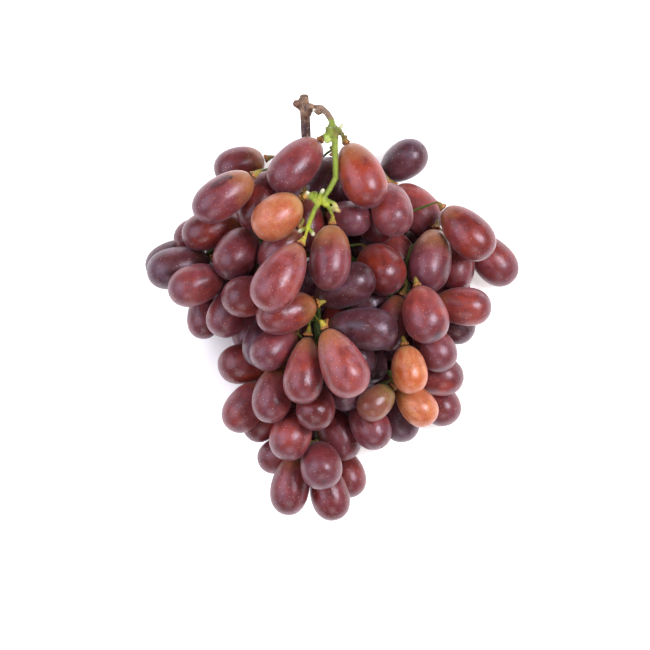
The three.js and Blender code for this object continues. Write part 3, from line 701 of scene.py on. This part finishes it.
def bruise_of(berry, node):
    """How near each point of a berry is to its bruise, if it has one."""
    if node not in BRUISED:
        return np.zeros(len(berry["points"]))
    along, toward = BRUISED[node]
    centre = berry["seat"] + berry["axis"] * berry["length"] * along + np.array(toward) * berry["radius"]
    away = berry["points"] - centre
    ahead = away @ berry["axis"]
    aside = np.linalg.norm(away - ahead[:, None] * berry["axis"], axis=1)
    return np.clip(1.0 - np.hypot(ahead / BRUISE_LENGTH, aside / BRUISE_WIDTH), 0, 1)


def give_character(berry, rng):
    """What makes a berry unlike the next one, and the points of its skin."""
    node = berry["node"]
    berry["middle"] = berry["seat"] + berry["axis"] * berry["length"] / 2
    berry["taper"] = CAD_TAPER + PEAR_SHAPED.get(node, rng.uniform(*TAPERS))
    berry["bend"] = rng.uniform(*BENDS)
    berry["lobes"] = [rng.uniform(*ends) for ends in (TWO_LOBES, LOBE_TURNS, THREE_LOBES, LOBE_TURNS)]
    turn = rng.uniform(*TURNS)
    side, other = frame_of(berry["axis"])
    c, s = math.cos(turn), math.sin(turn)
    basis = np.stack([side * c + other * s, other * c - side * s, berry["axis"]])
    berry["places"], berry["shares"] = surface(berry)
    berry["points"] = berry["middle"] + berry["places"] @ basis
    berry["tone"] = rng.uniform(*TONES)
    berry["red"] = REDDER.get(node, rng.uniform(*REDS))
    berry["stalk_end"] = LONG_STALK_END.get(node, rng.uniform(*STALK_ENDS))
    berry["dust"] = rng.uniform(*DUSTS)
    berry["shift"] = np.array([rng.uniform(*SHIFTS) for _ in range(3)])


def slot_of(node, rng):
    """The material slot of a berry: listed, or chosen by chance."""
    if node in SLOT_OF:
        return SLOT_OF[node]
    dark = rng.random() < (DARK_INSIDE_PAINTED_SHADE if node.startswith("pressed") else DARK_SEEN) and node not in REDDER
    return "berry_dark_violet" if dark else "berry_wine_red"


def add_berry(berry, name, faces, material):
    """Puts a finished berry in the scene, in place of its CAD node."""
    obj = new_mesh(name, berry["points"], faces)
    shares = berry["shares"]
    aside = np.linalg.norm(berry["places"][:, :2], axis=1)
    put(obj.data, "place", "FLOAT_VECTOR", berry["places"] + berry["shift"])
    put(obj.data, "along", "FLOAT", shares)
    for key in ("tone", "red", "stalk_end", "dust"):
        put(obj.data, key, "FLOAT", np.full(len(shares), berry[key]))
    put(obj.data, "scar", "FLOAT", (shares > 0.5) * np.clip(1.6 - 1.6 * aside / SCAR_RADIUS, 0, 1))
    put(obj.data, "bruise", "FLOAT", bruise_of(berry, berry["node"]))
    put(obj.data, "stalk_ring", "FLOAT", (shares < 0.5) * np.clip(2.4 - aside / STALK_RING_RADIUS, 0, 1))
    obj.data.materials.append(material)
    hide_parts(berry["node"])
    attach(obj, "root")


def build_berries():
    """Every berry of the CAD part, made again. Gives back what is known of them."""
    found = []
    for name, obj in sorted(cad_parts.items()):
        if name != "stem":
            found += find_berries(name, obj)
    rng = random.Random(41)
    for berry in found:
        give_character(berry, rng)
    press_apart(found)
    materials = {slot: skin_material(slot, skin) for slot, skin in SKINS.items()}
    faces = ring_faces()
    count = {}
    for berry in found:
        node = berry["node"]
        count[node] = count.get(node, 0) + 1
        name = f"skin_{node}_{count[node]}" if node.startswith("pressed") else f"skin_{node}"
        slot = slot_of(node, rng)
        add_berry(berry, name, faces, materials[slot])
    return found


# ---- Stem ----
def stem_material():
    """Green skin, cork and bark, as the values on the stem's mesh say."""
    n = Nodes("stem_skin")
    place = n.add("TexCoord").outputs["Object"]
    colour = n.attribute("colour", "Color")
    cork = n.attribute("cork")
    wood = n.attribute("wood")
    blotch = n.noise(place, BLOTCH_SCALE, 4.0, 0.6)
    colour = n.mix(n.span(blotch, 0.42, 0.62, 0.0, 0.40), colour, BLOTCH, "MULTIPLY")
    speck = n.noise(place, SPECK_SCALE, 3.0, 0.6)
    colour = n.mix(n.span(speck, 0.57, 0.65, 0.0, 0.6), colour, SPECK)
    crumbs = n.span(n.noise(place, CRUMB_SCALE, 3.0, 0.6), 0.47, 0.58)
    colour = n.mix(n.math("MULTIPLY", cork, crumbs), colour, CORK_DARK)
    grain = n.noise(n.stretch(place, (1.0, 0.22, 1.0)), BARK_SCALE, 4.0, 0.7)
    colour = n.mix(n.math("MULTIPLY", wood, n.span(grain, 0.42, 0.60)), colour, DARK_WOOD)
    flakes = n.span(n.noise(place, FLAKE_SCALE, 3.0, 0.6), 0.56, 0.66)
    colour = n.mix(n.math("MULTIPLY", n.math("MULTIPLY", wood, flakes), 0.7), colour, FLAKE)
    rough_bark = n.math("MULTIPLY", n.noise(place, BARK_RELIEF_SCALE, 4.0, 0.6), 0.6)
    relief = n.math("ADD", rough_bark, n.math("MULTIPLY", blotch, 0.6))
    bump = n.add("Bump", {"Height": relief, "Strength": 0.7, "Distance": 0.4 * MM})
    shader = n.add("BsdfPrincipled", {
        "Base Color": colour,
        "Roughness": 0.5,
        "IOR": 1.42,
        "Subsurface Weight": 0.10,
        "Subsurface Radius": (0.6, 1.0, 0.2),
        "Subsurface Scale": 1.0 * MM,
        "Normal": bump.outputs["Normal"],
    })
    n.tree.links.new(shader.outputs[0], n.output.inputs["Surface"])
    return n.material


def add_solid(points, faces, more, more_faces):
    """Joins another solid to the lists of points and faces."""
    faces += [tuple(v + len(points) for v in f) for f in more_faces]
    points += more


def lathe(rows, sides, start, axis, rng, rough):
    """A closed solid round an axis: rows of how far along it from start, and the radius, with rough edges."""
    side, other = frame_of(axis)
    points, faces = [], []
    for along, radius in rows:
        for k in range(sides):
            t = 2 * math.pi * k / sides
            r = radius * (1 + rng.uniform(-rough, rough))
            points.append(start + axis * along + r * (math.cos(t) * side + math.sin(t) * other))
    for row in range(len(rows) - 1):
        for k in range(sides):
            n = (k + 1) % sides
            faces.append((row * sides + k, row * sides + n, (row + 1) * sides + n, (row + 1) * sides + k))
    faces.append(tuple(reversed(range(sides))))
    faces.append(tuple(range((len(rows) - 1) * sides, len(rows) * sides)))
    return points, faces


def crown(berry, rng):
    """The warty collar behind a berry's seat, where its stalk spreads, and the first stretch of the stalk."""
    size = KNOB_RADIUS * rng.uniform(*KNOB_SIZES)
    start = berry["seat"] - berry["axis"] * KNOB_SUNK
    shape = ((0.0, 0.6), (0.16, 0.95), (0.5, 1.0), (1.0, 0.66))
    rows = [(depth * KNOB_DEPTH, share * size) for depth, share in shape]
    if berry["seat"][2] > HIGH_SEAT:
        rows += [(1.6 * KNOB_DEPTH, STALK_SLEEVE), (SLEEVE_LENGTH, 0.95 * STALK_SLEEVE)]
    return lathe(rows, KNOB_SIDES, start, -berry["axis"], rng, KNOB_ROUGHNESS)


def ball(centre, radius, rng):
    """A small rough ball."""
    rows = [(radius * (1 + math.sin(t)), radius * math.cos(t)) for t in SCAR_LATITUDES]
    lowest = centre - np.array((0, 0, radius))
    return lathe(rows, SCAR_SIDES, lowest, np.array((0.0, 0.0, 1.0)), rng, SCAR_ROUGHNESS)


def stem_height(points, x, y, reach):
    """The height of the top branch of the stem within reach of a place."""
    there = points[np.hypot(points[:, 0] - x, points[:, 1] - y) < reach]
    high = there[there[:, 2] > there[:, 2].max() - TOP_BRANCH]
    return high[:, 2].mean()


def near_points(co, centre, radius):
    """1 near the centre, falling to 0 just outside the radius."""
    return np.clip(1.6 - np.linalg.norm(co - centre, axis=1) / radius, 0, 1)


def blend(colour, share, towards):
    """Moves the rows of colours towards one colour, each by its own share."""
    colour += (np.array(towards) - colour) * share[:, None]


def ramp(value, ends):
    """0 at the first of the two ends, 1 at the second, and straight between them."""
    return np.clip((value - ends[0]) / (ends[1] - ends[0]), 0, 1)


def remade(stem):
    """The stem's solids fused into one smooth skin of moderate size."""
    remesh = stem.modifiers.new("remesh", "REMESH")
    remesh.mode = "VOXEL"
    remesh.voxel_size = STEM_VOXEL
    smooth = stem.modifiers.new("smooth", "SMOOTH")
    smooth.factor, smooth.iterations = STEM_SMOOTHING
    fewer = stem.modifiers.new("fewer", "DECIMATE")
    fewer.ratio = STEM_FACES_KEPT
    weld = stem.modifiers.new("weld", "WELD")
    weld.merge_threshold = STEM_WELD
    graph = bpy.context.evaluated_depsgraph_get()
    made = bpy.data.meshes.new_from_object(stem.evaluated_get(graph))
    stem.modifiers.clear()
    made.shade_smooth()
    return made


def cork_of(co, berries):
    """How corky each point of the stem is: fully behind the berries' seats, less up their stalks."""
    cork = np.zeros(len(co))
    for berry in berries:
        away = co - berry["seat"]
        behind = -(away @ berry["axis"])
        aside = np.linalg.norm(away + behind[:, None] * berry["axis"], axis=1)
        there = np.clip(1.7 - behind / COLLAR_LENGTH, 0, 1)
        there = np.maximum(there, CORKY_STALK[1] * np.clip(2 - behind / CORKY_STALK[0], 0, 1))
        there *= (behind > -CORK_AHEAD) * (aside < CORK_RADIUS)
        cork = np.maximum(cork, there)
    return cork


def paint_stem(made, berries, scars):
    """Gives the stem's corners their colours: greens, brown and purple on the main stem, cork at seats."""
    co = np.zeros(len(made.vertices) * 3)
    made.vertices.foreach_get("co", co)
    co = co.reshape(-1, 3)
    cork = cork_of(co, berries)
    height = co[:, 2] / MM
    back = (co[:, 1].max() - co[:, 1]) / MM  # from the cut end
    right = co[:, 0] / MM
    # Low down, deep in the bunch, the stem is painted dark green as painted shade; higher up it turns to leaf
    # green and then the wing's bright green.
    colour = np.tile(DEEP_SHADE_GREEN, (len(co), 1))
    blend(colour, ramp(height, LEAF_FROM_HEIGHT), LEAF_GREEN)
    blend(colour, ramp(height, WING_FROM_HEIGHT), WING_GREEN)
    left_edge = np.where(back < CUT_LENGTH, TRUNK_LEFT_AT_CUT, TRUNK_LEFT_EDGE)
    on_trunk = ramp(right, TRUNK_RIGHT_EDGE) * (height < TRUNK_HEIGHT) * (right > left_edge)
    on_arm = ramp(back, ARM_WOOD_ENDS) * (right > ARM_WOOD_LEFT)
    wood = np.maximum(on_trunk * ramp(back, TRUNK_WOOD_ENDS), on_arm)
    blend(colour, wood, WOOD)
    blend(colour, on_trunk * ramp(back, TRUNK_PURPLE_STARTS) * ramp(back, TRUNK_PURPLE_ENDS), PURPLE_WOOD)
    blend(colour, cork, CORK)
    for centre, radius, paint in scars:
        share = near_points(co, centre, radius)
        blend(colour, share, paint)
        cork *= 1 - share
        wood = np.maximum(wood, share) if paint == WOOD else wood * (1 - share)
    put(made, "colour", "FLOAT_COLOR", np.concatenate([colour, np.ones((len(co), 1))], 1))
    put(made, "cork", "FLOAT", cork)
    put(made, "wood", "FLOAT", wood)


def build_stem(berries):
    """The CAD stem with collars, cuts and scars joined on, in place of its CAD node."""
    rng = random.Random(7)
    cad_points, cad_faces = points_and_faces(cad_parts["stem"])
    points, faces = [*cad_points], [tuple(int(v) for v in f) for f in cad_faces]
    for berry in berries:
        add_solid(points, faces, *crown(berry, rng))
    scars = []
    places = [(*scar, SCAR_REACH) for scar in SCARS] + [(*end, CREAM, STUB_REACH) for end in STUB_ENDS]
    for x, y, radius, colour, reach in places:
        centre = np.array((x * MM, y * MM, stem_height(cad_points, x * MM, y * MM, reach)))
        scars.append((centre, radius * MM, colour))
        add_solid(points, faces, *ball(centre, radius * MM, rng))
    stem = new_mesh("stem_looks", points, faces)
    stem.data = remade(stem)
    paint_stem(stem.data, berries, scars)
    stem.data.materials.clear()
    stem.data.materials.append(stem_material())
    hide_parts("stem")
    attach(stem, "root")


# ---- Stage ----
def build_floor():
    """A white floor that glows a little, except right under the bunch, where the missing glow is a painted
    shadow.
    """
    bpy.ops.mesh.primitive_plane_add(size=FLOOR_SIZE, location=(0, 0, FLOOR_HEIGHT))
    floor = bpy.context.object
    floor.name = "floor"
    n = Nodes("floor_white")
    spot = n.add("TexCoord").outputs["Object"]
    fleck = n.noise(spot, FLECK_SCALE)
    distance = n.add("VectorMath", {0: spot}, operation="LENGTH").outputs["Value"]
    # near is the floor's glow round the bunch: none right under it, a painted shadow, rising to full further
    # out.
    near, far = (n.span(distance, start, end, 0.0, most) for start, end, most in (NEAR_GLOW_ROUND_PAINTED_SHADOW, FAR_GLOW))
    shader = n.add("BsdfPrincipled", {
        "Base Color": n.mix(n.math("MULTIPLY", fleck, 0.04), FLOOR_WHITE, FLOOR_FLECK),
        "Roughness": 0.9,
        "Specular IOR Level": 0.0,
        "Emission Color": (1.0, 1.0, 1.0),
        "Emission Strength": n.math("ADD", near, far),
    })
    n.tree.links.new(shader.outputs[0], n.output.inputs["Surface"])
    floor.data.materials.append(n.material)


def build_wall():
    """A white wall far round the bunch, which is only seen, and lights nothing."""
    bpy.ops.mesh.primitive_cylinder_add(
        radius=WALL_RADIUS,
        depth=WALL_HEIGHT,
        vertices=WALL_SIDES,
        end_fill_type="NOTHING",
        location=(0, 0, WALL_HEIGHT / 2 - WALL_SUNK),
    )
    wall = bpy.context.object
    wall.name = "wall"
    n = Nodes("wall_white")
    haze = n.noise(n.add("TexCoord").outputs["Object"], HAZE_SCALE)
    white = n.mix(n.math("MULTIPLY", haze, 0.02), (1.0, 1.0, 1.0), (0.9, 0.9, 0.9))
    glow = n.add("Emission", {"Color": white, "Strength": WALL_GLOW})
    n.tree.links.new(glow.outputs[0], n.output.inputs["Surface"])
    wall.data.materials.append(n.material)
    wall.visible_diffuse = False
    wall.visible_glossy = False
    wall.visible_transmission = False
    wall.visible_shadow = False


def build_lamps():
    """Soft studio light: three large lamps and a pale surround."""
    world = bpy.data.worlds.new("studio")
    bpy.context.scene.world = world
    world.use_nodes = True
    background = world.node_tree.nodes["Background"]
    background.inputs["Color"].default_value = WORLD_TINT
    background.inputs["Strength"].default_value = WORLD_STRENGTH
    for name, place, size, watts, tint in LAMPS:
        lamp = bpy.data.lights.new(name, "AREA")
        lamp.size = size
        lamp.energy = watts
        lamp.color = tint
        obj = bpy.data.objects.new(name, lamp)
        obj.location = place
        bpy.context.scene.collection.objects.link(obj)
        obj.rotation_mode = "QUATERNION"
        obj.rotation_quaternion = (Vector(AIM) - Vector(place)).to_track_quat("-Z", "Y")


def build_camera():
    """A long lens straight over the bunch."""
    camera = bpy.data.cameras.new("camera")
    camera.lens = CAMERA_LENS
    camera.sensor_width = CAMERA_SENSOR
    camera.clip_start, camera.clip_end = CAMERA_CLIP
    holder = bpy.data.objects.new("camera", camera)
    holder.location = CAMERA_PLACE
    bpy.context.scene.collection.objects.link(holder)
    bpy.context.scene.camera = holder
    bpy.context.scene.view_settings.view_transform = "Standard"
    bpy.context.scene.view_settings.look = "None"


grapes = build_berries()
build_stem(grapes)
build_floor()
build_wall()
build_lamps()
build_camera()
